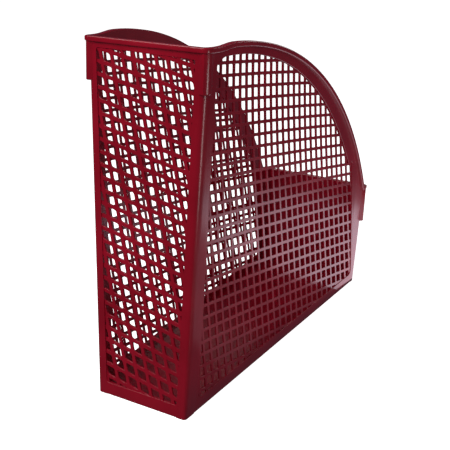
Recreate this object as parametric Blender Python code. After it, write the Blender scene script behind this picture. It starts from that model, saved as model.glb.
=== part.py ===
"""Magazine file holder: one thin-walled moulding, split into its natural regions.

Frame: metres, +Z up, origin on the resting plane under the middle of the
bounding box.  X runs from the tall end (-X) to the low end (+X), the near side
wall faces -Y and the far side wall faces +Y.  The object is the same on both
sides of the XZ plane.  In plan it widens towards the low end, and all its
walls lean outwards a little, so that empty files nest.
"""

import math

import bmesh
import bpy
from mathutils import Vector

# Overall shape
TALL_HEIGHT = 0.275        # top of the rim at the tall end
CREST_HEIGHT = 0.277       # highest point of the arched edge
LOW_HEIGHT = 0.109         # top of the rim at the low end
CREST_X = -0.1295          # where the arched edge is highest
ARCH_RADIUS_X = 0.341      # half-axis of the arch along X
BASE_DEPTH = 0.325         # tall end to low end, on the resting plane
BASE_WIDTH_TALL = 0.079    # width on the resting plane, at the tall end
BASE_WIDTH_LOW = 0.111     # width on the resting plane, at the low end
SIDE_DRAFT = 0.031         # outward lean of a side wall per metre of height
END_DRAFT = 0.005          # outward lean of an end wall per metre of height

# Walls, floor and rim
WALL = 0.0022              # wall and floor thickness
GAP = 0.0003               # gap between pieces that touch
RIM_HEIGHT = 0.0038        # the lip's height
RIM_REACH = 0.0024         # how far the lip stands out beyond the wall
TALL_LEGS = (0.008, 0.012)  # a tall corner's reach along the end and the side wall
LOW_LEGS = (0.007, 0.007)  # the same for a low corner
FOOT_RADIUS = 0.002        # corner rounding on the resting plane
TALL_RADIUS = 0.007        # corner rounding at the tall end's rim
LOW_RADIUS = 0.006         # corner rounding at the low end's rim

# Stacking lugs under the rim, one round each corner
LUG_HEIGHT_TALL = 0.027
LUG_HEIGHT_LOW = 0.036
LUG_PROUD = 0.0024         # how far a lug stands out from its corner at the top

# Mesh: skewed rows and columns of four-sided holes
# A step is (along the wall, up): one hole on along a row, then one row down
SIDE_STEPS = (Vector((0.0218, -0.0030)), Vector((0.0050, -0.0210)))
END_STEPS = (Vector((0.0172, -0.0026)), Vector((0.0036, -0.0200)))
OPEN_SHARE = 0.74          # a hole's side as a share of its step
MESH_FOOT = 0.0120         # where every mesh starts, above the resting plane
MESH_TOP_TALL = 0.2670     # where the mesh of the tall end wall stops
MESH_CREST = 0.2675        # where a side mesh stops, under the crest
MESH_RADIUS_X = 0.344      # half-axes of the arch that bounds a side mesh
MESH_RADIUS_Z = 0.450
MESH_END_MARGIN = 0.0008   # plain strip beside the tall corners, on the end wall
MESH_SIDE_START = 0.0150   # a side mesh starts this far from the tall end
MESH_LOW_MARGIN = 0.0100   # plain strip beside the low end, at the foot
MESH_LOW_SLOPE = 0.25      # how fast that strip widens with height

ARC_STEPS = 6              # flats in a quarter turn
ARCH_STEPS = 40            # flats along an arched edge

CHERRY = (0.20, 0.004, 0.012, 1.0)


# ---------------------------------------------------------------- geometry

def half_width(x, z, inset=0.0):
    """Half the width between the outer faces of the side walls."""
    flare = (BASE_WIDTH_LOW - BASE_WIDTH_TALL) / 2 / BASE_DEPTH
    middle = (BASE_WIDTH_LOW + BASE_WIDTH_TALL) / 4
    return middle + flare * x + SIDE_DRAFT * z - inset


def half_depth(z, inset=0.0):
    """Distance from the middle to the outer face of an end wall."""
    return BASE_DEPTH / 2 + END_DRAFT * z - inset


def edge_height(x):
    """Height of the arched edge: a slight rise to the crest, then an ellipse."""
    if x < CREST_X:
        start = -half_depth(TALL_HEIGHT) + TALL_LEGS[1]
        share = (CREST_X - x) / (CREST_X - start)
        return CREST_HEIGHT - (CREST_HEIGHT - TALL_HEIGHT) * share ** 2
    end = half_depth(LOW_HEIGHT) - LOW_LEGS[1]
    fall_to_end = 1 - math.sqrt(1 - ((end - CREST_X) / ARCH_RADIUS_X) ** 2)
    radius_z = (CREST_HEIGHT - LOW_HEIGHT) / fall_to_end
    fall = 1 - math.sqrt(1 - ((x - CREST_X) / ARCH_RADIUS_X) ** 2)
    return CREST_HEIGHT - radius_z * fall


def arched_edge(offset):
    """Points (x, z) along the arched edge, moved inwards by the offset."""
    start = -half_depth(TALL_HEIGHT) + TALL_LEGS[1] + GAP
    end = half_depth(LOW_HEIGHT) - LOW_LEGS[1] - GAP
    points = []
    for step in range(ARCH_STEPS + 1):
        x = start + (end - start) * step / ARCH_STEPS
        nudge = 0.0005
        slope = (edge_height(x + nudge) - edge_height(x - nudge)) / (2 * nudge)
        across = Vector((-slope, 1.0)).normalized()
        if step == 0:
            across = Vector((0.0, 1.0))
        points.append(Vector((x, edge_height(x))) - offset * across)
    return points


def plan_corner(end, side, z, inset, radius):
    """Rounded corner in plan, from the end wall round to the side wall.

    end is -1 at the tall end and +1 at the low end, side is -1 or +1.
    """
    x = end * half_depth(z, inset)
    corner = Vector((x, side * half_width(x, z, inset)))
    along_end = Vector((0.0, -side))
    back = Vector((x - end, side * half_width(x - end, z, inset)))
    along_side = (back - corner).normalized()
    half_angle = along_end.angle(along_side) / 2
    middle = (along_end + along_side).normalized()
    centre = corner + middle * radius / math.sin(half_angle)
    first = corner + along_end * radius / math.tan(half_angle) - centre
    last = corner + along_side * radius / math.tan(half_angle) - centre
    turn = first.angle_signed(last)
    points = []
    for step in range(ARC_STEPS + 1):
        spin = -turn * step / ARC_STEPS
        cosine, sine = math.cos(spin), math.sin(spin)
        points.append(centre + Vector((first.x * cosine - first.y * sine,
                                       first.x * sine + first.y * cosine)))
    return points


def corner_strip(end, side, z, outer, inner, radius):
    """Plan outline of a strip that wraps a corner; outer and inner are insets."""
    x = end * half_depth(z)
    end_leg, side_leg = TALL_LEGS if end < 0 else LOW_LEGS
    turn_y = side * (half_width(x, z) - end_leg)
    turn_x = end * (half_depth(z) - side_leg)
    outside = plan_corner(end, side, z, outer, radius - outer)
    inside = plan_corner(end, side, z, inner, max(radius - inner, 0.0004))
    outline = [Vector((outside[0].x, turn_y))] + outside
    outline.append(Vector((turn_x, side * half_width(turn_x, z, outer))))
    outline.append(Vector((turn_x, side * half_width(turn_x, z, inner))))
    outline += inside[::-1]
    outline.append(Vector((inside[0].x, turn_y)))
    return outline


def corner_radius(end, z):
    """Rounding of a corner, which grows from the foot to the rim."""
    top = TALL_RADIUS if end < 0 else LOW_RADIUS
    height = TALL_HEIGHT if end < 0 else LOW_HEIGHT
    return FOOT_RADIUS + (top - FOOT_RADIUS) * z / height


# ---------------------------------------------------------------- building

def make_material(name, roughness):
    material = bpy.data.materials.new(name)
    material.use_nodes = True
    shader = material.node_tree.nodes["Principled BSDF"]
    shader.inputs["Base Color"].default_value = CHERRY
    shader.inputs["Roughness"].default_value = roughness
    shader.inputs["Metallic"].default_value = 0.0
    material.diffuse_color = CHERRY
    return material


def add_object(name, work_mesh, roughness=0.22):
    bmesh.ops.recalc_face_normals(work_mesh, faces=work_mesh.faces)
    mesh = bpy.data.meshes.new(name)
    work_mesh.to_mesh(mesh)
    work_mesh.free()
    mesh.materials.append(make_material(name + "_plastic", roughness))
    obj = bpy.data.objects.new(name, mesh)
    bpy.context.scene.collection.objects.link(obj)
    return obj


def add_loft(work_mesh, first, last):
    """Closed body between two outlines that have the same number of points."""
    bottom = [work_mesh.verts.new(point) for point in first]
    top = [work_mesh.verts.new(point) for point in last]
    work_mesh.faces.new(bottom)
    work_mesh.faces.new(top)
    count = len(bottom)
    for index in range(count):
        following = (index + 1) % count
        work_mesh.faces.new((bottom[index], bottom[following], top[following], top[index]))


def loft_object(name, first, last):
    work_mesh = bmesh.new()
    add_loft(work_mesh, first, last)
    return add_object(name, work_mesh)


def upright(outline, z):
    """Plan points lifted to a height."""
    return [Vector((point.x, point.y, z)) for point in outline]


def on_side(outline, side, inset):
    """Points (x, z) placed on a side wall, the inset in from its outer face."""
    return [Vector((p.x, side * half_width(p.x, p.y, inset), p.y)) for p in outline]


def on_tall_end(outline, inset):
    """Points (y, z) placed on the tall end wall."""
    return [Vector((-half_depth(p.y, inset), p.x, p.y)) for p in outline]


# ---------------------------------------------------------------- mesh holes

def hole_corners(centre, steps):
    """The four corners of one skewed hole."""
    across = steps[0] * OPEN_SHARE / 2
    down = steps[1] * OPEN_SHARE / 2
    return [centre - across - down, centre + across - down,
            centre + across + down, centre - across + down]


def hole_field(start, steps, count, is_clear):
    """Every hole of the skewed grid whose corners all lie in the mesh area."""
    holes = []
    for row in range(count):
        for column in range(-count, count + 1):
            corners = hole_corners(start + steps[0] * column + steps[1] * row, steps)
            if all(is_clear(corner) for corner in corners):
                holes.append(corners)
    return holes


def in_side_mesh(point):
    """True inside the plain border of a side wall, for a point (x, z)."""
    left = -half_depth(point.y) + MESH_SIDE_START
    right = half_depth(0.0) - MESH_LOW_MARGIN - MESH_LOW_SLOPE * point.y
    if point.x < left or point.x > right or point.y < MESH_FOOT:
        return False
    reach = (point.x - CREST_X) / MESH_RADIUS_X
    return point.y < MESH_CREST - MESH_RADIUS_Z * (1 - math.sqrt(1 - reach ** 2))


def in_end_mesh(point):
    """True inside the plain border of the tall end wall, for a point (y, z)."""
    edge = half_width(-half_depth(point.y), point.y) - TALL_LEGS[0] - MESH_END_MARGIN
    return abs(point.x) < edge and MESH_FOOT < point.y < MESH_TOP_TALL


def cut_holes(wall, holes, place, reach):
    """Cut straight holes through a wall with one hidden cutter."""
    work_mesh = bmesh.new()
    for corners in holes:
        add_loft(work_mesh, place(corners, -reach), place(corners, WALL + reach))
    cutter = add_object(wall.name + "_cutter", work_mesh)
    cutter.hide_render = True
    cutter.display_type = "WIRE"
    holes_cut = wall.modifiers.new("mesh_holes", "BOOLEAN")
    holes_cut.operation = "DIFFERENCE"
    holes_cut.object = cutter


# ---------------------------------------------------------------- sub-parts

def make_floor():
    """Flat plate between the feet of the walls."""
    inset = WALL + GAP
    outline = []
    for end, side in ((-1, -1), (-1, 1), (1, 1), (1, -1)):
        points = plan_corner(end, side, 0.0, inset, FOOT_RADIUS)
        outline += points if end * side < 0 else points[::-1]
    return loft_object("floor_plate", upright(outline, 0.0), upright(outline, WALL))


def make_corner_post(name, end, side):
    """Rounded upright strip that joins an end wall to a side wall."""
    height = TALL_HEIGHT if end < 0 else LOW_HEIGHT
    top = height - RIM_HEIGHT - GAP
    sections = []
    for z in (0.0, top):
        radius = corner_radius(end, z)
        outline = corner_strip(end, side, z, 0.0, WALL, radius)
        sections.append(upright(outline, z))
    return loft_object(name, sections[0], sections[1])


def make_tall_end_wall():
    """Upright mesh panel between the two tall corner posts."""
    top = TALL_HEIGHT - RIM_HEIGHT - GAP
    outline = []
    for side, z in ((-1, 0.0), (1, 0.0), (1, top), (-1, top)):
        edge = half_width(-half_depth(z), z) - TALL_LEGS[0] - GAP
        outline.append(Vector((side * edge, z)))
    wall = loft_object("tall_end_wall", on_tall_end(outline, 0.0), on_tall_end(outline, WALL))
    start = Vector((-0.0300, MESH_TOP_TALL - 0.0125))
    holes = hole_field(start, END_STEPS, 14, in_end_mesh)
    cut_holes(wall, holes, on_tall_end, 0.001)
    return wall


def make_low_end_wall():
    """Short solid panel between the two low corner posts."""
    top = LOW_HEIGHT - RIM_HEIGHT - GAP
    faces = []
    for inset in (0.0, WALL):
        face = []
        for side, z in ((-1, 0.0), (1, 0.0), (1, top), (-1, top)):
            edge = half_width(half_depth(z), z) - LOW_LEGS[0] - GAP
            face.append(Vector((half_depth(z, inset), side * edge, z)))
        faces.append(face)
    return loft_object("low_end_wall", faces[0], faces[1])


def make_side_wall(name, side):
    """Mesh panel with an arched top, from the tall corner to the low corner."""
    left = -half_depth(0.0) + TALL_LEGS[1] + GAP
    right = half_depth(0.0) - LOW_LEGS[1] - GAP
    top_right = half_depth(LOW_HEIGHT) - LOW_LEGS[1] - GAP
    outline = [Vector((right, 0.0)), Vector((left, 0.0))]
    outline += arched_edge(RIM_HEIGHT + GAP)
    outline.append(Vector((top_right, LOW_HEIGHT - RIM_HEIGHT - GAP)))
    wall = loft_object(name, on_side(outline, side, 0.0), on_side(outline, side, WALL))
    start = Vector((-0.1395, MESH_CREST - 0.0110))
    holes = hole_field(start, SIDE_STEPS, 14, in_side_mesh)
    cut_holes(wall, holes, lambda corners, inset: on_side(corners, side, inset), 0.001)
    return wall


def make_arch_rim(name, side):
    """Lip that follows a side wall's arched edge."""
    outline = arched_edge(0.0)
    end_x = outline[-1].x
    outline.append(Vector((end_x, LOW_HEIGHT - RIM_HEIGHT)))
    outline += arched_edge(RIM_HEIGHT)[::-1]
    return loft_object(name, on_side(outline, side, -RIM_REACH), on_side(outline, side, WALL))


def make_end_rim(name, end):
    """Lip along an end wall, turned round both of its corners."""
    height = TALL_HEIGHT if end < 0 else LOW_HEIGHT
    side_leg = TALL_LEGS[1] if end < 0 else LOW_LEGS[1]
    radius = corner_radius(end, height)
    turn_x = end * (half_depth(height) - side_leg)
    outline = []
    for inset in (-RIM_REACH, WALL):
        loop = []
        for side in (-1, 1):
            points = plan_corner(end, side, height, inset, radius - inset)
            points.append(Vector((turn_x, side * half_width(turn_x, height, inset))))
            loop += points[::-1] if side < 0 else points
        outline += loop if inset < 0 else loop[::-1]
    return loft_object(name, upright(outline, height - RIM_HEIGHT), upright(outline, height))


def make_lug(name, end, side):
    """Quarter-round stacking lug, upright outside while the corner leans in."""
    height = TALL_HEIGHT if end < 0 else LOW_HEIGHT
    reach = LUG_HEIGHT_TALL if end < 0 else LUG_HEIGHT_LOW
    top = height - RIM_HEIGHT - GAP
    radius = corner_radius(end, top)
    outer = plan_corner(end, side, top, -LUG_PROUD, radius + LUG_PROUD)
    sections = []
    for z in (top - reach, top):
        inner = plan_corner(end, side, z, -GAP, corner_radius(end, z) + GAP)
        sections.append(upright(outer + inner[::-1], z))
    return loft_object(name, sections[0], sections[1])


def build():
    for obj in list(bpy.data.objects):
        bpy.data.objects.remove(obj)
    make_floor()
    make_tall_end_wall()
    make_low_end_wall()
    make_end_rim("tall_end_rim", -1)
    make_end_rim("low_end_rim", 1)
    for side, side_name in ((-1, "near"), (1, "far")):
        make_side_wall(side_name + "_side_wall", side)
        make_arch_rim(side_name + "_arch_rim", side)
        for end, end_name in ((-1, "tall"), (1, "low")):
            make_corner_post(end_name + "_" + side_name + "_corner", end, side)
            make_lug(end_name + "_" + side_name + "_lug", end, side)


build()
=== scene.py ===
import math

import bmesh
import bpy
from mathutils import Matrix, Vector


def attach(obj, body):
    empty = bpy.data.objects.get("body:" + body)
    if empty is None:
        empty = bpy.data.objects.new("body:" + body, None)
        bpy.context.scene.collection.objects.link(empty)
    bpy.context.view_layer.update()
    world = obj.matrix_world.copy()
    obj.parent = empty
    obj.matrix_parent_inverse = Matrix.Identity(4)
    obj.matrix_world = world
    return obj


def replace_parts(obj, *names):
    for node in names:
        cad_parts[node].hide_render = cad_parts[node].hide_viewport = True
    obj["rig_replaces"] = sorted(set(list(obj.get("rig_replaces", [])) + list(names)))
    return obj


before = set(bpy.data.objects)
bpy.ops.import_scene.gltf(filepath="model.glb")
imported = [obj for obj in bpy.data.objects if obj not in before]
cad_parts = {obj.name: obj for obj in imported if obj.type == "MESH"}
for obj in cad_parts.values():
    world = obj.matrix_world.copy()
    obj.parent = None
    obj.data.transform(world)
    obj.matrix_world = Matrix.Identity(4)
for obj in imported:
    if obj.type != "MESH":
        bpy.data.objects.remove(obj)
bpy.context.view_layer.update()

# ---------------------------------------------------------------- floor plate
# The bottom of the file is a flat plate, moulded in one shot with the walls
# that stand round it.  It is 2.2 mm of polystyrene, plain on both faces, and
# it widens from the tall end to the low end as the whole file does.

WALL = 0.0022                     # thickness of the floor and of the walls
BASE_DEPTH = 0.325                # tall end to low end, at the foot
BASE_WIDTH_TALL = 0.079           # width at the foot, at the tall end
BASE_WIDTH_LOW = 0.111            # width at the foot, at the low end
SIDE_DRAFT = 0.031                # outward lean of the sides, per metre of height
END_DRAFT = 0.005                 # outward lean of the ends, per metre of height
FLARE = (BASE_WIDTH_LOW - BASE_WIDTH_TALL) / 2 / BASE_DEPTH
HALF_WIDTH = (BASE_WIDTH_LOW + BASE_WIDTH_TALL) / 4
SHARP = math.radians(30)


def half_width(x, z, inset=0.0):
    """Half the width between the outer faces of the side walls."""
    return HALF_WIDTH + FLARE * x + SIDE_DRAFT * z - inset


def half_depth(z, inset=0.0):
    """Distance from the middle to the outer face of an end wall."""
    return BASE_DEPTH / 2 + END_DRAFT * z - inset


def linear(hex_colour):
    """An sRGB hex colour as linear red, green, blue and alpha."""
    parts = [int(hex_colour[i:i + 2], 16) / 255 for i in (1, 3, 5)]
    return tuple(p / 12.92 if p <= 0.04045 else ((p + 0.055) / 1.055) ** 2.4
                 for p in parts) + (1.0,)


def add_node(tree, kind, settings=(), inputs=(), links=()):
    """A node with its settings, its input values and its incoming links."""
    node = tree.nodes.new(kind)
    for key, value in dict(settings).items():
        setattr(node, key, value)
    for key, value in dict(inputs).items():
        node.inputs[key].default_value = value
    for key, socket in dict(links).items():
        tree.links.new(socket, node.inputs[key])
    return node


# Injection-moulded polystyrene, dyed cherry red right through.  A polished
# mould leaves it glossy; the melt leaves faint cloudy flow marks in the red,
# and slow waves a few centimetres long in the gloss.
cherry = bpy.data.materials.new("moulded_polystyrene_cherry")
cherry.use_nodes = True
tree = cherry.node_tree
shader = tree.nodes["Principled BSDF"]
shader.inputs["IOR"].default_value = 1.57
shader.inputs["Metallic"].default_value = 0.0
shader.inputs["Specular IOR Level"].default_value = 0.5
place = add_node(tree, "ShaderNodeTexCoord").outputs["Object"]
flow = add_node(tree, "ShaderNodeTexNoise", (), {"Scale": 1 / 0.045, "Detail": 3.0, "Roughness": 0.5},
                {"Vector": place}).outputs["Fac"]
dye = add_node(tree, "ShaderNodeValToRGB", (), (), {"Fac": flow})
dye.color_ramp.elements[0].position = 0.35
dye.color_ramp.elements[0].color = linear("#7A0014")
dye.color_ramp.elements[1].position = 0.70
dye.color_ramp.elements[1].color = linear("#8C041C")
tree.links.new(dye.outputs["Color"], shader.inputs["Base Color"])
polish = add_node(tree, "ShaderNodeMapRange", (), {"To Min": 0.20, "To Max": 0.30},
                  {"Value": flow}).outputs["Result"]
tree.links.new(polish, shader.inputs["Roughness"])
wave = add_node(tree, "ShaderNodeTexNoise", (), {"Scale": 1 / 0.030, "Detail": 1.0},
                {"Vector": place}).outputs["Fac"]
skin = add_node(tree, "ShaderNodeTexNoise", (), {"Scale": 1 / 0.0012, "Detail": 1.0},
                {"Vector": place}).outputs["Fac"]
slow = add_node(tree, "ShaderNodeBump", (), {"Strength": 0.25, "Distance": 0.0006},
                {"Height": wave}).outputs["Normal"]
fine = add_node(tree, "ShaderNodeBump", (), {"Strength": 0.12, "Distance": 0.00002},
                {"Height": skin, "Normal": slow}).outputs["Normal"]
tree.links.new(fine, shader.inputs["Normal"])


def only(piece):
    """Selects one object and makes it active."""
    bpy.ops.object.select_all(action="DESELECT")
    piece.select_set(True)
    bpy.context.view_layer.objects.active = piece


def outline_sheet(name, points):
    """A flat face whose corners are the given points, in order."""
    bpy.ops.object.select_all(action="DESELECT")
    bpy.ops.mesh.primitive_circle_add(vertices=len(points), radius=0.1, fill_type="NGON")
    piece = bpy.context.object
    piece.name = piece.data.name = name
    for vertex, point in zip(piece.data.vertices, points):
        vertex.co = point
    return piece


def pick(piece, kind, test):
    """In edit mode, selects the vertices, edges or faces that pass the test."""
    bpy.ops.mesh.select_mode(type=kind)
    bpy.ops.mesh.select_all(action="DESELECT")
    work = bmesh.from_edit_mesh(piece.data)
    for element in {"VERT": work.verts, "EDGE": work.edges, "FACE": work.faces}[kind]:
        if test(element):
            element.select_set(True)
    bmesh.update_edit_mesh(piece.data)


def thicken(piece, offset):
    """Extrudes a flat face by the offset into a closed plate."""
    only(piece)
    bpy.ops.object.mode_set(mode="EDIT")
    bpy.ops.mesh.select_all(action="SELECT")
    bpy.ops.mesh.extrude_region_move(TRANSFORM_OT_translate={"value": offset})
    bpy.ops.mesh.select_all(action="SELECT")
    bpy.ops.mesh.normals_make_consistent(inside=False)
    bpy.ops.object.mode_set(mode="OBJECT")


def bevel_edges(piece, test, width, segments):
    """Bevels the edges that pass the test."""
    only(piece)
    bpy.ops.object.mode_set(mode="EDIT")
    pick(piece, "EDGE", test)
    bpy.ops.mesh.bevel(offset=width, segments=segments, affect="EDGES", clamp_overlap=True)
    bpy.ops.object.mode_set(mode="OBJECT")


def finish_piece(piece, *nodes):
    """Gives a finished piece its shading, its plastic and its place in the frame."""
    only(piece)
    bpy.ops.object.transform_apply(location=True, rotation=True, scale=True)
    bpy.ops.object.shade_smooth_by_angle(angle=SHARP)
    piece.data.materials.clear()
    piece.data.materials.append(cherry)
    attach(piece, "root")
    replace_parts(piece, *nodes)


corners = [(end, side) for end, side in ((-1, -1), (1, -1), (1, 1), (-1, 1))]
floor_plate = outline_sheet("floor_plate", [
    Vector((end * half_depth(0, WALL), side * half_width(end * half_depth(0, WALL), 0, WALL), 0))
    for end, side in corners])
thicken(floor_plate, (0, 0, WALL))
finish_piece(floor_plate, "floor_plate")
floor_plate.name = "moulded_floor"

# ---------------------------------------------------------------- corner posts
# Each corner is a rounded upright strip of the same shell that turns from an
# end wall into a side wall.  It is tight at the foot and opens to a larger
# radius at the rim, and the foot edge is eased by the mould.

TALL_HEIGHT = 0.275               # top of the rim at the tall end
CREST_HEIGHT = 0.277              # highest point of the arched edge
LOW_HEIGHT = 0.109                # top of the rim at the low end
CREST_X = -0.1295                 # where the arched edge is highest
RIM_HEIGHT = 0.0038               # height of the lip
RIM_REACH = 0.0024                # how far the lip stands out from the wall
TALL_LEGS = (0.008, 0.012)        # a tall corner's reach along the end and the side
LOW_LEGS = (0.007, 0.007)         # the same for a low corner
FOOT_ROUNDING = 0.0030            # reach of a corner's rounding at the foot
TALL_ROUNDING = (0.0050, 0.0100)  # reach along the end and the side, at the tall rim
LOW_ROUNDING = (0.0045, 0.0050)   # the same at the low rim
FOOT_EASE = 0.0008                # rounding of the foot edge itself
ARC_STEPS = 10


def plan_corner(end, side, z, inset, end_reach, side_reach):
    """Rounded corner in plan, from the end wall round to the side wall."""
    x = end * half_depth(z, inset)
    corner = Vector((x, side * half_width(x, z, inset)))
    back = Vector((x - end, side * half_width(x - end, z, inset)))
    start = corner + Vector((0.0, -side)) * end_reach
    finish = corner + (back - corner).normalized() * side_reach
    points = []
    for step in range(ARC_STEPS + 1):
        share = step / ARC_STEPS
        points.append(start * (1 - share) ** 2 + corner * 2 * share * (1 - share)
                      + finish * share ** 2)
    return points


def corner_reach(end, z):
    """How far a corner's rounding reaches along its end and its side."""
    top = TALL_ROUNDING if end < 0 else LOW_ROUNDING
    share = z / (TALL_HEIGHT if end < 0 else LOW_HEIGHT)
    return [FOOT_ROUNDING + (reach - FOOT_ROUNDING) * share for reach in top]


def corner_strip(end, side, z):
    """Outline, at one height, of the strip that wraps a corner."""
    end_leg, side_leg = TALL_LEGS if end < 0 else LOW_LEGS
    turn_y = side * (half_width(end * half_depth(z), z) - end_leg)
    turn_x = end * (half_depth(z) - side_leg)
    reaches = corner_reach(end, z)
    outside = plan_corner(end, side, z, 0.0, *reaches)
    inside = plan_corner(end, side, z, WALL, *[reach - WALL for reach in reaches])
    outline = [Vector((outside[0].x, turn_y))] + outside
    outline.append(Vector((turn_x, side * half_width(turn_x, z))))
    outline.append(Vector((turn_x, side * half_width(turn_x, z, WALL))))
    outline += inside[::-1] + [Vector((inside[0].x, turn_y))]
    return [Vector((p.x, p.y, z)) for p in outline]


def lofted(name, foot, top):
    """A cylinder whose two rings are drawn out to the foot and top outlines."""
    bpy.ops.object.select_all(action="DESELECT")
    count = len(foot)
    bpy.ops.mesh.primitive_cylinder_add(vertices=count, radius=0.01, depth=0.02,
                                        end_fill_type="NGON")
    piece = bpy.context.object
    piece.name = piece.data.name = name
    for vertex in piece.data.vertices:
        turn = math.atan2(vertex.co.y, vertex.co.x) - math.pi / 2
        ring = foot if vertex.co.z < 0 else top
        vertex.co = ring[round(turn / (2 * math.pi) * count) % count]
    only(piece)
    bpy.ops.object.mode_set(mode="EDIT")
    bpy.ops.mesh.select_all(action="SELECT")
    bpy.ops.mesh.normals_make_consistent(inside=False)
    bpy.ops.object.mode_set(mode="OBJECT")
    return piece


def mirrored(piece, name, *nodes):
    """The far side's copy of a near piece, with its own mesh."""
    only(piece)
    bpy.ops.object.duplicate()
    copy = bpy.context.object
    copy.name = copy.data.name = name
    copy.parent = None
    copy.matrix_world = Matrix.Diagonal((1, -1, 1, 1))
    bpy.ops.object.transform_apply(location=True, rotation=True, scale=True)
    bpy.ops.object.mode_set(mode="EDIT")
    bpy.ops.mesh.select_all(action="SELECT")
    bpy.ops.mesh.normals_make_consistent(inside=False)
    bpy.ops.object.mode_set(mode="OBJECT")
    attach(copy, "root")
    copy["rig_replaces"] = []
    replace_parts(copy, *nodes)
    return copy


def is_outer_foot(edge):
    """True for an edge of the foot that lies on the outside of the shell."""
    for vertex in edge.verts:
        x, y, z = vertex.co
        outer = min(half_depth(0) - abs(x), half_width(x, 0) - abs(y))
        if z > 0.0001 or outer > 0.0006:
            return False
    return edge.verts[0].co != edge.verts[1].co


for end, end_name in ((-1, "tall"), (1, "low")):
    height = TALL_HEIGHT if end < 0 else LOW_HEIGHT
    post = lofted(end_name + "_near_post", corner_strip(end, -1, 0.0),
                  corner_strip(end, -1, height - RIM_HEIGHT))
    bevel_edges(post, is_outer_foot, FOOT_EASE, 3)
    finish_piece(post, end_name + "_near_corner")
    mirrored(post, end_name + "_far_post", end_name + "_far_corner")

# ---------------------------------------------------------------- low end wall
# The front of the file is a short solid panel between the two low corners,
# plain on both faces.  The mould eases its foot edge.

panel_points = []
for side, z in ((-1, 0.0), (1, 0.0), (1, LOW_HEIGHT - RIM_HEIGHT), (-1, LOW_HEIGHT - RIM_HEIGHT)):
    edge_y = half_width(half_depth(z), z) - LOW_LEGS[0]
    panel_points.append(Vector((half_depth(z), side * edge_y, z)))
low_panel = outline_sheet("low_panel", panel_points)
thicken(low_panel, (-WALL, 0, 0))
bevel_edges(low_panel, is_outer_foot, FOOT_EASE, 3)
finish_piece(low_panel, "low_end_wall")

# ---------------------------------------------------------------- tall end wall
# The back of the file is an upright mesh panel.  A plain frame runs round it,
# and the net sits a little below the frame's face.  The net's rows and
# columns both run askew, and every hole is a leaning four-sided window whose
# upper right and lower left corners are rounded.

NET_SINK = 0.00055                # the net lies this far below the frame, on both faces
NET_LAP = 0.0003                  # how far the net runs into the frame
FRAME_EASE = 0.0005               # chamfer round the frame's inner edge
HOLE_EASE = 0.00040               # chamfer round every hole
TALL_BAR = 0.155                  # half a bar, as a share of the pitch
TALL_ROUND = 0.16                 # rounding of a hole's corner, as a share of the pitch
MM = 0.001


def apply_boolean(piece, tool, operation):
    """Applies an exact Boolean with the tool and removes the tool."""
    only(piece)
    modifier = piece.modifiers.new("cut", "BOOLEAN")
    modifier.operation = operation
    modifier.solver = "EXACT"
    modifier.object = tool
    bpy.ops.object.modifier_apply(modifier=modifier.name)
    bpy.data.objects.remove(tool)


def net_sheet(name, first, count, bar, rounding, lattice, keep, lay):
    """A net of bars: a square grid inset cell by cell, then drawn askew.

    first and count are the column and row of its first cell and how many it
    has; lattice says where a column and row lie on the wall, keep which cells
    are wanted, and lay puts a wall point in space.
    """
    bpy.ops.object.select_all(action="DESELECT")
    bpy.ops.mesh.primitive_grid_add(x_subdivisions=count[0], y_subdivisions=count[1], size=1)
    piece = bpy.context.object
    piece.name = piece.data.name = name
    for vertex in piece.data.vertices:
        vertex.co.x = first[0] - 0.5 + (vertex.co.x + 0.5) * count[0]
        vertex.co.y = -(first[1] - 0.5 + (0.5 - vertex.co.y) * count[1])
        vertex.co.z = 0
    bpy.ops.object.mode_set(mode="EDIT")
    pick(piece, "FACE", lambda face: not keep(*lattice(face.calc_center_median().x,
                                                       -face.calc_center_median().y)))
    bpy.ops.mesh.delete(type="FACE")
    bpy.ops.mesh.select_all(action="SELECT")
    bpy.ops.mesh.inset(thickness=bar, use_individual=True)
    bpy.ops.mesh.delete(type="FACE")
    bpy.ops.mesh.select_mode(type="VERT")
    bpy.ops.object.mode_set(mode="OBJECT")
    chosen = set()
    for vertex in piece.data.vertices:
        across = vertex.co.x - math.floor(vertex.co.x + 0.5)
        upwards = vertex.co.y - math.floor(vertex.co.y + 0.5)
        if abs(across ** 2 - (0.5 - bar) ** 2) < 1e-4 and across * upwards > 0:
            chosen.add(vertex.index)
    bpy.ops.object.mode_set(mode="EDIT")
    pick(piece, "VERT", lambda vertex: vertex.index in chosen)
    bpy.ops.mesh.bevel(offset=rounding, segments=2, affect="VERTICES", clamp_overlap=True)
    bpy.ops.object.mode_set(mode="OBJECT")
    for vertex in piece.data.vertices:
        vertex.co = lay(*lattice(vertex.co.x, -vertex.co.y), NET_SINK)
    return piece


def wall_with_net(frame_sheet, window, opening, net, depth_axis, rim_test):
    """Cuts the window through the frame and moulds the net into it."""
    through = Vector(depth_axis)
    thicken(frame_sheet, through * WALL)
    thicken(window, through * (WALL + 0.002))
    apply_boolean(frame_sheet, window, "DIFFERENCE")
    bevel_edges(frame_sheet, rim_test, FRAME_EASE, 1)
    thicken(net, through * (WALL - 2 * NET_SINK))
    axis = 0 if depth_axis[0] else 1
    bevel_edges(net, lambda edge: edge.is_manifold and edge.calc_face_angle() > 1.0
                and all(abs(v.co[axis] - NET_SINK) < 1e-5 for v in edge.verts), HOLE_EASE, 1)
    thicken(opening, through * (WALL + 0.002))
    apply_boolean(net, opening, "INTERSECT")
    apply_boolean(frame_sheet, net, "UNION")
    return frame_sheet


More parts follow.
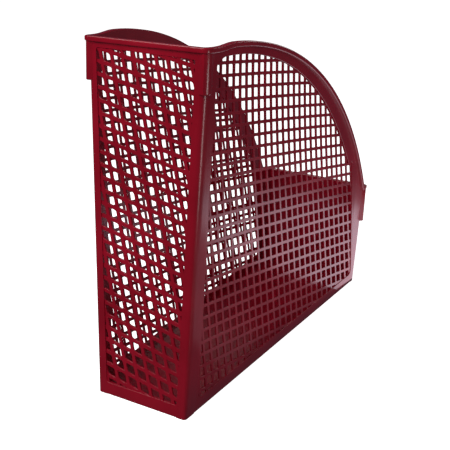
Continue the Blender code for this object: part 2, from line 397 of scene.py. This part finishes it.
def rounded_outline(points, radii, steps=6):
    """The outline with each corner that has a radius turned into an arc."""
    outline = []
    for index, (point, radius) in enumerate(zip(points, radii)):
        if not radius:
            outline.append(point)
            continue
        before = (points[index - 1] - point).normalized()
        after = (points[(index + 1) % len(points)] - point).normalized()
        half = before.angle(after) / 2
        reach = radius / math.tan(half)
        start, end = point + before * reach, point + after * reach
        for step in range(steps + 1):
            share = step / steps
            outline.append(start * (1 - share) ** 2 + point * 2 * share * (1 - share)
                           + end * share ** 2)
    return outline


def tall_lattice(column, row):
    """Place (across, up) of a column and row on the tall wall; rows count upwards from -row."""
    rise = -row
    across = (7.56 - 10.26 * column + 2.297 * rise - 0.0059 * column ** 2
              - 0.0083 * rise ** 2 + 0.0327 * column * rise)
    up = (16.90 - 1.90 * column + 10.69 * rise - 0.02835 * rise ** 2
          + 0.0075 * column * rise)
    return across * MM, up * MM


def tall_window(grow):
    """Outline of the net on the tall wall, grown by the given amount."""
    points = [Vector((0.0328 + grow, 0.0105 - grow)), Vector((0.0405 + grow, 0.2675 + grow)),
              Vector((-0.0418 - grow, 0.2665 + grow)), Vector((-0.0330 - grow, 0.0105 - grow))]
    return rounded_outline(points, (0.004, 0.004, 0.005, 0.004))


def on_tall(across, up, depth):
    return Vector((depth, across, up))


top = TALL_HEIGHT - RIM_HEIGHT
tall_points = []
for side, z in ((-1, 0.0), (1, 0.0), (1, top), (-1, top)):
    tall_points.append(on_tall(side * (half_width(-half_depth(z), z) - TALL_LEGS[0]), z, 0.0))
tall_wall = outline_sheet("tall_net_wall", tall_points)
window = outline_sheet("window", [on_tall(p.x, p.y, -0.001) for p in tall_window(0.0)])
opening = outline_sheet("opening", [on_tall(p.x, p.y, -0.001) for p in tall_window(NET_LAP)])
net = net_sheet("net", (-5, -27), (18, 30), TALL_BAR, TALL_ROUND, tall_lattice,
                lambda across, up: abs(across) < 0.052 and -0.004 < up < 0.282, on_tall)


def on_tall_window(edge):
    return all(abs(v.co.x) < 1e-5 and abs(v.co.y) < 0.0430 and 0.009 < v.co.z < 0.2690
               for v in edge.verts) and edge.calc_face_angle(0) > 1.0


wall_with_net(tall_wall, window, opening, net, (1, 0, 0), on_tall_window)
bevel_edges(tall_wall, lambda edge: all(abs(v.co.x) < 1e-5 and v.co.z < 1e-5
                                        for v in edge.verts), FOOT_EASE, 3)
tall_wall.data.transform(Matrix(((1, 0, -END_DRAFT, -BASE_DEPTH / 2), (0, 1, 0, 0),
                                 (0, 0, 1, 0), (0, 0, 0, 1))))
finish_piece(tall_wall, "tall_end_wall")

# ---------------------------------------------------------------- side walls
# Each side is a mesh panel under an arched edge that falls from the tall end
# to the low end.  Its net is finer at the tall end and opens out towards the
# low front corner, and the frame's inner edge follows the arch.

ARCH_RADIUS_X = 0.341
ARCH_STEPS = 56
MITRE = 0.566                     # sideways run of the joint where the arch meets the low rim
SIDE_BAR = 0.130
SIDE_ROUND = 0.12


def edge_height(x):
    """Height of the arched edge: an easy rise to the crest, then an ellipse."""
    if x < CREST_X:
        start = -half_depth(TALL_HEIGHT) + TALL_LEGS[1]
        share = min((CREST_X - x) / (CREST_X - start), 1.0)
        return CREST_HEIGHT - (CREST_HEIGHT - TALL_HEIGHT) * (1 - math.cos(math.pi * share)) / 2
    end = half_depth(LOW_HEIGHT) - LOW_LEGS[1]
    fall_to_end = 1 - math.sqrt(1 - ((end - CREST_X) / ARCH_RADIUS_X) ** 2)
    radius_z = (CREST_HEIGHT - LOW_HEIGHT) / fall_to_end
    fall = 1 - math.sqrt(1 - ((x - CREST_X) / ARCH_RADIUS_X) ** 2)
    return CREST_HEIGHT - radius_z * fall


def arched_edge(offset):
    """Points (x, z) along the arched edge, moved inwards by the offset."""
    start = -half_depth(TALL_HEIGHT) + TALL_LEGS[1]
    end = half_depth(LOW_HEIGHT) - LOW_LEGS[1]
    points = []
    for step in range(ARCH_STEPS + 1):
        x = start + (end - start) * step / ARCH_STEPS
        nudge = 0.0005
        slope = (edge_height(x + nudge) - edge_height(x - nudge)) / (2 * nudge)
        inward = -Vector((-slope, 1.0)).normalized()
        if step == 0:
            inward = Vector((0.0, -1.0))
        if step == ARCH_STEPS:
            inward = Vector((-MITRE, -1.0))
        points.append(Vector((x, edge_height(x))) + offset * inward)
    return points


def side_lattice(column, row):
    """Place (along, up) of a column and row on a side wall."""
    lean = 0.05 * max(0.0, 9 - row) ** 2
    along = (-134.58 + lean + 8.678 * column + 1.745 * row + 0.0613 * column ** 2
             + 0.0214 * row ** 2 + 0.0821 * column * row)
    up = (258.54 - 0.482 * column - 8.815 * row - 0.0155 * column ** 2
          - 0.0462 * row ** 2 - 0.0572 * column * row)
    return along * MM, up * MM


def side_window(grow):
    """Outline of the net on a side wall, grown by the given amount."""
    radius_x, radius_z = 0.3442 + grow, 0.4501 + grow
    arch = []
    for step in range(41):
        x = -0.1400 + (0.1090 + 0.1400) * step / 40
        drop = 1 - math.sqrt(1 - ((x + 0.1288) / radius_x) ** 2)
        arch.append(Vector((x, 0.2678 + grow - radius_z * drop)))
    points = [Vector((0.1532 + grow, 0.0105 - grow)), Vector((-0.1455 - grow, 0.0105 - grow)),
              Vector((-0.1497 - grow, 0.2640))]
    points += arch
    points += [Vector((0.1175 + grow, 0.1440 + grow))]
    radii = [0.006, 0.004, 0.004] + [0] * len(arch) + [0.004]
    return rounded_outline(points, radii)


def on_side(along, up, depth):
    return Vector((along, depth, up))


side_top = [Vector((p.x, p.y)) for p in arched_edge(RIM_HEIGHT)]
side_left = -BASE_DEPTH / 2 + TALL_LEGS[1]
side_right = BASE_DEPTH / 2 - LOW_LEGS[1]
side_points = [Vector((side_right, 0.0)), Vector((side_left, 0.0))] + side_top
side_points.append(Vector((half_depth(LOW_HEIGHT) - LOW_LEGS[1], LOW_HEIGHT - RIM_HEIGHT)))
near_wall = outline_sheet("near_net_wall", [on_side(p.x, p.y, 0.0) for p in side_points])
window = outline_sheet("window", [on_side(p.x, p.y, -0.001) for p in side_window(0.0)])
opening = outline_sheet("opening", [on_side(p.x, p.y, -0.001) for p in side_window(NET_LAP)])


def in_side_reach(along, up):
    """True near the net's window, for a cell's middle."""
    if not -0.160 < along < 0.165 or not -0.002 < up < 0.280:
        return False
    drop = 1 - math.sqrt(1 - ((along + 0.1288) / 0.3650) ** 2)
    return up < 0.2800 - 0.4501 * drop


net = net_sheet("net", (-12, -3), (40, 34), SIDE_BAR, SIDE_ROUND, side_lattice,
                in_side_reach, on_side)


def on_side_window(edge):
    for v in edge.verts:
        if abs(v.co.y) > 1e-5 or v.co.z < 0.009 or v.co.x < -0.1502 or v.co.x > 0.1545:
            return False
        if v.co.z > edge_height(v.co.x) - 0.006:
            return False
    return edge.calc_face_angle(0) > 1.0


wall_with_net(near_wall, window, opening, net, (0, 1, 0), on_side_window)
bevel_edges(near_wall, lambda edge: all(abs(v.co.y) < 1e-5 and v.co.z < 1e-5
                                        for v in edge.verts), FOOT_EASE, 3)
near_wall.data.transform(Matrix(((1, 0, 0, 0), (-FLARE, 1, -SIDE_DRAFT, -HALF_WIDTH),
                                 (0, 0, 1, 0), (0, 0, 0, 1))))
finish_piece(near_wall, "near_side_wall")
mirrored(near_wall, "far_net_wall", "far_side_wall")

# ---------------------------------------------------------------- rims
# A lip runs round the whole mouth: level over the two ends and round their
# corners, and over the arch on both sides.  It is part of the moulding, stands
# out from the wall and has rounded outer edges that catch the light.

LIP_ROUND = 0.0009
LIP_CORNER = 0.0045               # reach, in plan, of the lip's rounding at a corner
LIP_STRETCH = 0.0040              # how much further it reaches along the side, at a tall corner


def lip_profile():
    """The lip's section: (reach outwards from the wall's face, depth below its top)."""
    profile = [(-WALL, RIM_HEIGHT), (-WALL, 0.0005), (-WALL + 0.0005, 0.0)]
    for step in range(5):
        turn = math.pi / 2 * step / 4
        profile.append((RIM_REACH - LIP_ROUND + LIP_ROUND * math.sin(turn),
                        LIP_ROUND - LIP_ROUND * math.cos(turn)))
    for step in range(5):
        turn = math.pi / 2 * step / 4
        profile.append((RIM_REACH - LIP_ROUND + LIP_ROUND * math.cos(turn),
                        RIM_HEIGHT - LIP_ROUND + LIP_ROUND * math.sin(turn)))
    return profile


def swept(name, rings):
    """A grid wrapped so that its rows are the rings, with its two ends closed."""
    stations, around = len(rings[0]), len(rings)
    bpy.ops.object.select_all(action="DESELECT")
    bpy.ops.mesh.primitive_grid_add(x_subdivisions=stations - 1, y_subdivisions=around, size=1)
    piece = bpy.context.object
    piece.name = piece.data.name = name
    for vertex in piece.data.vertices:
        station = round((vertex.co.x + 0.5) * (stations - 1))
        row = round((vertex.co.y + 0.5) * around) % around
        vertex.co = rings[row][station]
    bpy.ops.object.mode_set(mode="EDIT")
    bpy.ops.mesh.select_all(action="SELECT")
    bpy.ops.mesh.remove_doubles(threshold=0.00001)
    pick(piece, "EDGE", lambda edge: edge.is_boundary)
    bpy.ops.mesh.fill_holes(sides=0)
    bpy.ops.mesh.select_all(action="SELECT")
    bpy.ops.mesh.normals_make_consistent(inside=False)
    bpy.ops.object.mode_set(mode="OBJECT")
    return piece


for end, end_name in ((-1, "tall"), (1, "low")):
    height = TALL_HEIGHT if end < 0 else LOW_HEIGHT
    side_leg = TALL_LEGS[1] if end < 0 else LOW_LEGS[1]
    rings = []
    for reach, depth in lip_profile():
        z = height - depth
        turn_x = end * (half_depth(height) - side_leg)
        if end > 0:
            turn_x -= MITRE * depth
        ring = []
        for side in (-1, 1):
            turn = LIP_CORNER + min(reach, 0.0)
            longer = LIP_STRETCH if end < 0 else 0.0
            run = plan_corner(end, side, z, -reach, turn, turn + longer)
            run.append(Vector((turn_x, side * half_width(turn_x, z, -reach))))
            ring += run[::-1] if side < 0 else run
        rings.append([Vector((p.x, p.y, z)) for p in ring])
    finish_piece(swept(end_name + "_lip", rings), end_name + "_end_rim")

rings = []
for reach, depth in lip_profile():
    rings.append([Vector((p.x, -half_width(p.x, p.y, -reach), p.y)) for p in arched_edge(depth)])
near_lip = swept("near_arch_lip", rings)
finish_piece(near_lip, "near_arch_rim")
mirrored(near_lip, "far_arch_lip", "far_arch_rim")

# ---------------------------------------------------------------- stacking lugs
# Under the rim, every corner carries a quarter-round shoulder.  It stands
# upright while the corner leans in below it, so that a second file nested in
# this one rests on it and doesn't jam.  Its foot is rounded off.

LUG_HEIGHT_TALL = 0.027
LUG_HEIGHT_LOW = 0.036
LUG_PROUD = 0.0024
LUG_EASE = 0.0008
LUG_SOFT = 0.0016                 # extra rounding of a shoulder over its corner
LUG_ROOT = 0.0010                 # how far a shoulder reaches into the corner
LUG_FLANK = 0.32                  # share of the turn over which a flank rises

for end, end_name in ((-1, "tall"), (1, "low")):
    height = TALL_HEIGHT if end < 0 else LOW_HEIGHT
    top = height - RIM_HEIGHT
    foot = top - (LUG_HEIGHT_TALL if end < 0 else LUG_HEIGHT_LOW)
    crown = plan_corner(end, -1, top, -LUG_PROUD,
                        *[reach + LUG_SOFT for reach in corner_reach(end, top)])
    levels = []
    for z in (foot, top):
        wall = plan_corner(end, -1, z, 0.0, *corner_reach(end, z))
        buried = plan_corner(end, -1, z, LUG_ROOT,
                             *[reach - LUG_ROOT for reach in corner_reach(end, z)])
        outer = []
        for step, (low, high) in enumerate(zip(wall, crown)):
            rise = min(step, ARC_STEPS - step) / ARC_STEPS / LUG_FLANK
            rise = min(rise, 1.0)
            outer.append(low.lerp(high, rise * rise * (3 - 2 * rise)))
        levels.append([Vector((p.x, p.y, z)) for p in outer + buried[::-1]])
        if z == foot:
            outside = {(round(p.x, 5), round(p.y, 5)) for p in outer}
    lug = lofted(end_name + "_near_shoulder", *levels)

    def is_lug_edge(edge, foot=foot, outside=outside):
        ends = [(round(v.co.x, 5), round(v.co.y, 5)) in outside for v in edge.verts]
        return all(ends) and all(abs(v.co.z - foot) < 1e-5 for v in edge.verts)

    bevel_edges(lug, is_lug_edge, LUG_EASE, 3)
    finish_piece(lug, end_name + "_near_lug")
    mirrored(lug, end_name + "_far_shoulder", end_name + "_far_lug")

# ---------------------------------------------------------------- floor and light
# A white table top, a pale surround, a large soft light from the tall end and
# weaker ones from the near side and above.  The table glows beside the file,
# and cards that only show in the gloss shape its sheen.

bpy.ops.object.select_all(action="DESELECT")
bpy.ops.mesh.primitive_plane_add(size=30, location=(0, 0, -0.0002))
table = bpy.context.object
table.name = "table_top"
only(table)
bpy.ops.object.transform_apply(location=True, rotation=True, scale=True)
table.visible_glossy = False
table.visible_diffuse = False
white = bpy.data.materials.new("matt_white_laminate")
white.use_nodes = True
white_shader = white.node_tree.nodes["Principled BSDF"]
white_shader.inputs["Roughness"].default_value = 0.9
white_shader.inputs["Specular IOR Level"].default_value = 0.1
white_shader.inputs["Emission Color"].default_value = (1, 1, 1, 1)
white_shader.inputs["Emission Strength"].default_value = 0.90
grain = add_node(white.node_tree, "ShaderNodeTexNoise", (), {"Scale": 8.0, "Detail": 2.0},
                 {"Vector": add_node(white.node_tree, "ShaderNodeTexCoord").outputs["Object"]})
tint = add_node(white.node_tree, "ShaderNodeMapRange", (), {"To Min": 0.90, "To Max": 0.93},
                {"Value": grain.outputs["Fac"]})
white.node_tree.links.new(tint.outputs["Result"], white_shader.inputs["Base Color"])
table.data.materials.append(white)

AMBIENT = 0.22                    # surround, for light that the file scatters
GLOSS_AMBIENT = 0.085             # surround, as the gloss shows it
scene = bpy.context.scene
world = bpy.data.worlds.new("studio")
scene.world = world
world.use_nodes = True
sky = world.node_tree
background = sky.nodes["Background"]
rays = add_node(sky, "ShaderNodeLightPath")
gloss = add_node(sky, "ShaderNodeMapRange", (), {"To Min": AMBIENT, "To Max": GLOSS_AMBIENT},
                 {"Value": rays.outputs["Is Glossy Ray"]}).outputs["Result"]
level = add_node(sky, "ShaderNodeMapRange", (), {"To Max": 1.0},
                 {"Value": rays.outputs["Is Camera Ray"], "To Min": gloss}).outputs["Result"]
sky.links.new(level, background.inputs["Strength"])
tint = add_node(sky, "ShaderNodeMix", {"data_type": "RGBA"},
                {6: (1.0, 1.0, 1.0, 1.0), 7: linear("#FFD6F9")},
                {0: rays.outputs["Is Glossy Ray"]})
sky.links.new(tint.outputs[2], background.inputs["Color"])


def aimed(kind_object, place, target):
    """Puts an object at a place, facing the target."""
    kind_object.location = place
    kind_object.rotation_euler = (Vector(target) - Vector(place)).to_track_quat("-Z", "Y").to_euler()


def soft_light(name, place, target, size, power, colour="#FFFFFF", gloss=False):
    data = bpy.data.lights.new(name, "AREA")
    data.shape = "RECTANGLE"
    data.size, data.size_y = size
    data.energy = power
    data.color = linear(colour)[:3]
    lamp = bpy.data.objects.new(name, data)
    scene.collection.objects.link(lamp)
    aimed(lamp, place, target)
    lamp.visible_camera = False
    lamp.visible_glossy = gloss
    return lamp


def gloss_card(name, place, target, size, strength, colour="#FFFFFF"):
    """A glowing card that shows only in reflections."""
    bpy.ops.object.select_all(action="DESELECT")
    bpy.ops.mesh.primitive_plane_add(size=1)
    card = bpy.context.object
    card.name = name
    card.scale = (size[0], size[1], 1)
    aimed(card, place, target)
    material = bpy.data.materials.new(name)
    material.use_nodes = True
    tree = material.node_tree
    glow = add_node(tree, "ShaderNodeEmission", (), {"Strength": strength, "Color": linear(colour)})
    tree.links.new(glow.outputs["Emission"], tree.nodes["Material Output"].inputs["Surface"])
    card.data.materials.append(material)
    card.visible_camera = card.visible_diffuse = card.visible_shadow = False
    card.visible_transmission = card.visible_volume_scatter = False
    return card


ROSE = "#FFF0FF"
soft_light("key_from_tall_end", (-1.3, 0.25, 0.9), (-0.1, 0, 0.12), (0.9, 0.9), 19)
soft_light("fill_from_near_side", (0.2, -1.4, 0.9), (0, 0, 0.1), (0.9, 0.7), 3.0)
soft_light("top_light", (0.1, 0.1, 1.6), (0, 0, 0), (1.2, 1.2), 2.5)
soft_light("table_glow", (0.245, -0.16, 0.003), (0.245, -0.16, 1.0),
           (0.25, 0.21), 0.21, ROSE, True)
soft_light("near_table_glow", (-0.06, -0.20, 0.003), (-0.06, -0.20, 1.0), (0.30, 0.16), 0.25)
soft_light("table_skirt", (0.20, -0.21, 0.002), (0.20, -0.21, 1.0),
           (0.56, 0.30), 0.07, ROSE, True)
gloss_card("overhead_card", (-0.45, 0.50, 1.20), (0, 0, 0.1), (0.8, 0.8), 3.5)
gloss_card("low_end_card", (1.0, -0.35, 0.60), (0, 0, 0.1), (0.4, 0.4), 3.5)
gloss_card("corner_card", (-0.14, -0.42, 0.10), (-0.16, -0.04, 0.10),
           (0.06, 0.20), 5.0)

# ---------------------------------------------------------------- camera
camera_data = bpy.data.cameras.new("camera")
camera = bpy.data.objects.new("camera", camera_data)
scene.collection.objects.link(camera)
scene.camera = camera
aimed(camera, (-0.5943, -0.2931, 0.3296), (0, 0, 0.1375))
camera.rotation_mode = "QUATERNION"
camera.rotation_quaternion = ((Vector((0.5943, 0.2931, -0.1921))).to_track_quat("-Z", "Y")
                              @ Matrix.Rotation(math.radians(2.94), 3, "Z").to_quaternion())
camera_data.lens = 61.70
camera_data.sensor_width = 36
camera_data.shift_x = -0.0477
camera_data.shift_y = -0.0905
camera_data.dof.use_dof = False
scene.view_settings.view_transform = "Standard"
scene.view_settings.look = "None"
